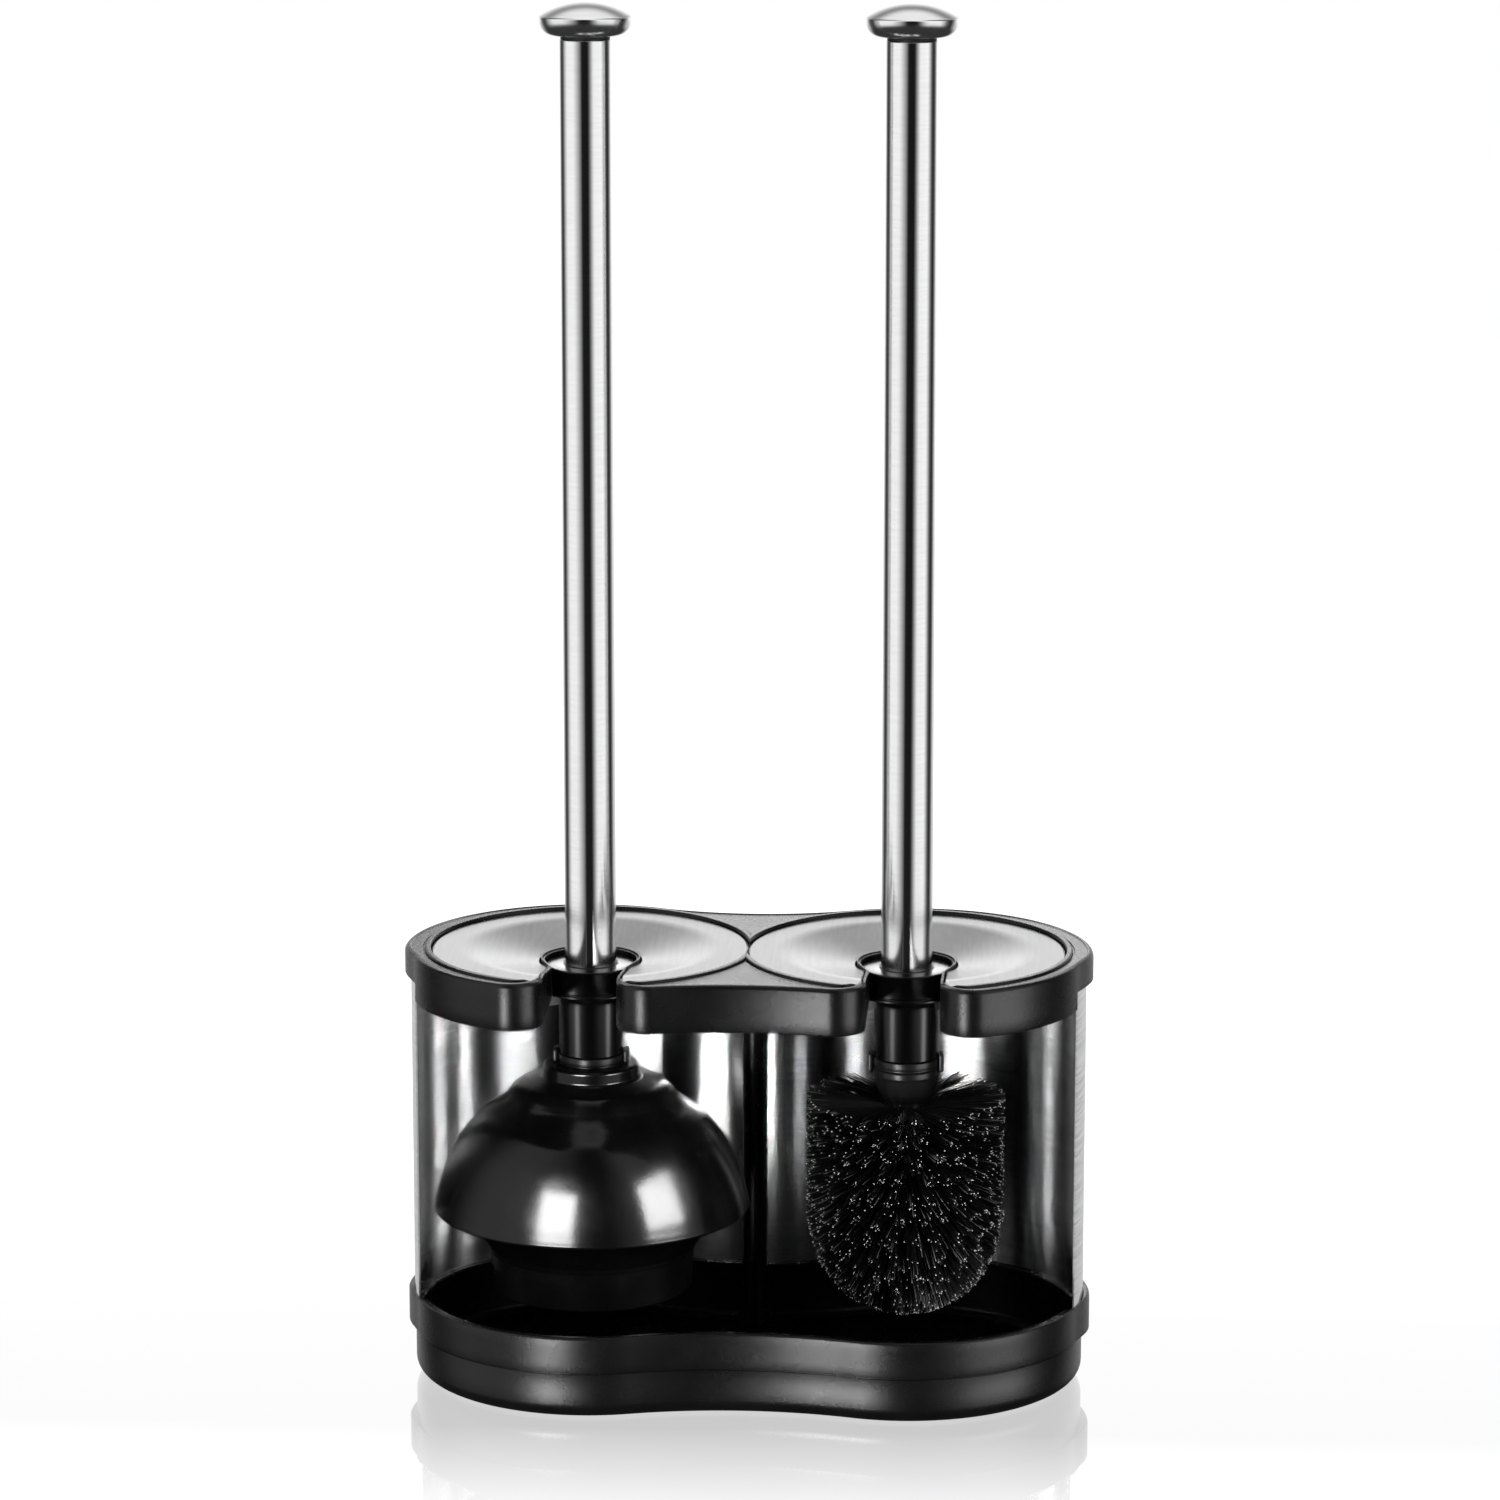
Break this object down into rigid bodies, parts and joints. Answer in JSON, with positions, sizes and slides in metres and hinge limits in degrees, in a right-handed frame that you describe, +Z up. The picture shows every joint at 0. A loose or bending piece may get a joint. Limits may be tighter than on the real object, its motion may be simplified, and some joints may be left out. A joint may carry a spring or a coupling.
{
  "type": "toilet plunger and brush set",
  "caption": "Flanged rubber toilet plunger and round bowl brush on steel handles, hung in an open-fronted steel holder with a drip tray.",
  "frame": {"origin": "on the floor, under the middle of the holder's outline", "axes": "+Z up along the handles; +X from the plunger to the brush; -Y out of the holder's open front"},
  "size_m": [0.2692, 0.14, 0.5387],
  "materials": {
    "black_plastic": "black satin moulding with a fine texture",
    "socket_plastic": "black satin moulding",
    "brushed_sheet": "stainless sheet with a fine horizontal grain",
    "satin_disc": "satin stainless pressing",
    "brushed_tube": "stainless tube with a fine brushed grain",
    "polished_knob": "half-polished stainless",
    "hardware_steel": "plain zinc-plated",
    "foot_rubber": "matt black rubber",
    "cup_rubber": "smooth black rubber with a soft gloss",
    "bristle_nylon": "black nylon bristles in tufts"
  },
  "bodies": {
    "holder": {"tray": "black_plastic", "foot_pads": "foot_rubber", "steel_wall": "brushed_sheet", "center_post": "black_plastic", "post_screw": "hardware_steel", "lid_frame": "black_plastic", "disc_left": "satin_disc", "disc_right": "satin_disc"},
    "plunger_handle": {"plunger_knob": "polished_knob", "plunger_knob_stud": "hardware_steel", "plunger_knob_ring": "foot_rubber", "plunger_tube_plug": "socket_plastic", "plunger_tube": "brushed_tube", "plunger_adapter": "black_plastic"},
    "plunger_head": {"plunger_socket": "socket_plastic", "plunger_cup": "cup_rubber", "plunger_cup_washer": "hardware_steel", "plunger_cup_screw": "hardware_steel"},
    "brush_handle": {"brush_knob": "polished_knob", "brush_knob_stud": "hardware_steel", "brush_knob_ring": "foot_rubber", "brush_tube_plug": "socket_plastic", "brush_tube": "brushed_tube", "brush_adapter": "black_plastic"},
    "brush_head": {"brush_socket": "socket_plastic", "brush_core": "socket_plastic", "brush_bristles": "bristle_nylon"}
  },
  "joints": [
    {"name": "plunger_lift", "type": "slide", "parent": "holder", "child": "plunger_handle", "axis": [0, 0, 1], "range_m": [0, 0.019]},
    {"name": "plunger_twist", "type": "hinge", "parent": "plunger_handle", "child": "plunger_head", "pos_m": [-0.0618, 0, 0.1254], "axis": [0, 0, 1], "range_deg": [0, 90]},
    {"name": "brush_lift", "type": "slide", "parent": "holder", "child": "brush_handle", "axis": [0, 0, 1], "range_m": [0, 0.019]},
    {"name": "brush_twist", "type": "hinge", "parent": "brush_handle", "child": "brush_head", "pos_m": [0.0618, 0, 0.1254], "axis": [0, 0, 1], "range_deg": [0, 90]}
  ]
}
